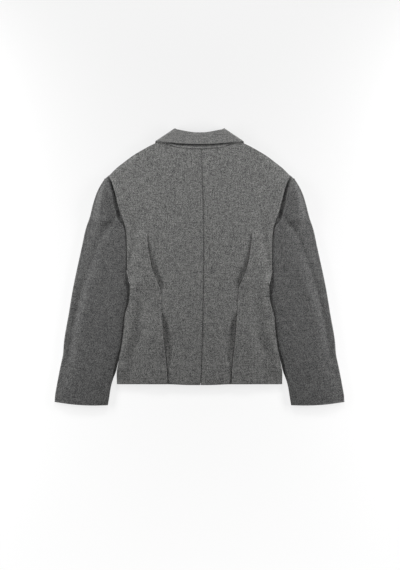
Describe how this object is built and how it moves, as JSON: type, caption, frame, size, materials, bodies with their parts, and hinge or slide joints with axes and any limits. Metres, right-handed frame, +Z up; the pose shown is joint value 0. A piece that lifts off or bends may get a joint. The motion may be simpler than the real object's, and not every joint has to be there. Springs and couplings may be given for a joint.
{
  "type": "peplum jacket",
  "caption": "Waisted wool jacket laid flat on its front: collar, long set-in sleeves, and a back whose pleats are stitched at the waist and open above and below.",
  "frame": {"origin": "on the surface the jacket lies on, under the middle of its bounding box", "axes": "+Z up out of the back; +Y towards the collar; +X towards the wearer's right sleeve, on the right of the picture"},
  "size_m": [0.7666, 0.7329, 0.0143],
  "materials": {
    "wool": "matt mid-grey wool flannel with a mottled twill grain",
    "wool_collar": "the same wool, pressed smooth on the collar"
  },
  "bodies": {
    "root": {"back_left": "wool", "back_right": "wool", "front_left": "wool", "front_right": "wool", "sleeve_left": "wool", "sleeve_right": "wool", "collar_stand": "wool_collar", "collar_fall": "wool_collar"}
  },
  "joints": []
}
